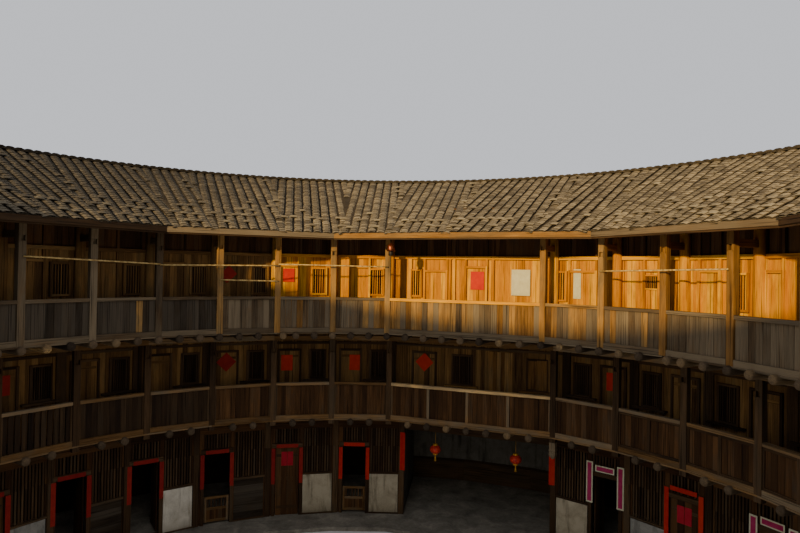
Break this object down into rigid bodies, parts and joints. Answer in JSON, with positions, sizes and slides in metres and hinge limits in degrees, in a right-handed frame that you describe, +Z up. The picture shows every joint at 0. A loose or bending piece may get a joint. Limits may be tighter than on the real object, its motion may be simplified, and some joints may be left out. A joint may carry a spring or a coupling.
{
  "type": "earth and timber roundhouse",
  "caption": "Round rammed-earth dwelling with tiled roof, inner timber galleries around an open court, ancestral hall and gateway",
  "frame": {"origin": "on the ground at the centre of the court", "axes": "+Z up, +Y from the court towards the ancestral hall, -Y towards the gate"},
  "size_m": [31.9916, 31.9843, 10.49],
  "materials": {
    "earth": "rammed earth, rough and matt, with level lift lines",
    "stone": "dressed grey stone and hard-trodden paving, matt",
    "plaster": "lime plaster, matt and stained",
    "dark_fir": "old fir, smoke-darkened, matt",
    "golden_fir": "fir boards, golden, matt",
    "grey_fir": "fir boards weathered grey",
    "tiles": "fired clay tiles, grey-brown, matt",
    "red_silk": "red lantern cloth"
  },
  "bodies": {
    "house": {"ground_floor": "stone", "gate_frame": "stone", "ground_front_left_1": "dark_fir", "ground_front_left_2": "dark_fir", "ground_front_left_3": "dark_fir", "ground_front_left_4": "dark_fir", "ground_front_left_5": "dark_fir", "ground_front_right_1": "dark_fir", "ground_front_right_2": "dark_fir", "ground_front_head_left": "dark_fir", "ground_front_head_hall_left": "dark_fir", "ground_front_head_hall": "dark_fir", "ground_front_head_right": "dark_fir", "earth_wall_gate": "earth", "second_floor_gate": "dark_fir", "second_floor_front_gate": "dark_fir", "third_floor_gate": "dark_fir", "earth_wall_left_front": "earth", "second_floor_left_front": "dark_fir", "second_floor_front_left_front": "dark_fir", "third_floor_left_front": "dark_fir", "earth_wall_left_back": "earth", "second_floor_left_back": "dark_fir", "second_floor_front_left_back": "dark_fir", "third_floor_left_back": "dark_fir", "earth_wall_hall": "earth", "second_floor_hall": "dark_fir", "second_floor_front_hall": "dark_fir", "third_floor_hall": "dark_fir", "earth_wall_right_back": "earth", "second_floor_right_back": "dark_fir", "second_floor_front_right_back": "dark_fir", "third_floor_right_back": "dark_fir", "earth_wall_right_front": "earth", "second_floor_right_front": "dark_fir", "second_floor_front_right_front": "dark_fir", "third_floor_right_front": "dark_fir", "second_floor_front_hall_left": "dark_fir", "second_floor_front_hall_right": "dark_fir", "second_floor_gallery_left": "dark_fir", "third_floor_front_left": "golden_fir", "third_floor_gallery_left": "grey_fir", "roof_inner_left": "tiles", "roof_outer_left": "tiles", "second_floor_gallery_right": "dark_fir", "third_floor_front_right": "golden_fir", "third_floor_gallery_right": "grey_fir", "roof_inner_right": "tiles", "roof_outer_right": "tiles", "gate_leaf_left": "dark_fir", "gate_leaf_right": "dark_fir", "hall_side_wall_left": "plaster", "hall_side_wall_right": "plaster", "hall_lantern_left": "red_silk", "hall_lantern_right": "red_silk"},
    "half_gate_left_1": {"half_gate_left_1": "dark_fir"},
    "door_left_2": {"door_left_2": "dark_fir"},
    "half_gate_left_3": {"half_gate_left_3": "dark_fir"},
    "door_left_6": {"door_left_6": "dark_fir"},
    "door_right_2": {"door_right_2": "dark_fir"}
  },
  "joints": [
    {"name": "half_gate_left_1_hinge", "type": "hinge", "parent": "house", "child": "half_gate_left_1", "pos_m": [-3.96158, 8.94964, 0.1], "axis": [0, 0, -1], "range_deg": [0, 90]},
    {"name": "door_left_2_hinge", "type": "hinge", "parent": "house", "child": "door_left_2", "pos_m": [-5.72231, 7.93944, 0.1], "axis": [0, 0, 1], "range_deg": [0, 90]},
    {"name": "half_gate_left_3_hinge", "type": "hinge", "parent": "house", "child": "half_gate_left_3", "pos_m": [-7.24688, 6.57822, 0.1], "axis": [0, 0, -1], "range_deg": [0, 90]},
    {"name": "door_left_6_hinge", "type": "hinge", "parent": "house", "child": "door_left_6", "pos_m": [-9.66434, 1.60763, 0.1], "axis": [0, 0, 1], "range_deg": [0, 90]},
    {"name": "door_right_2_hinge", "type": "hinge", "parent": "house", "child": "door_right_2", "pos_m": [5.72231, 7.93944, 0.1], "axis": [0, 0, -1], "range_deg": [0, 90]}
  ]
}
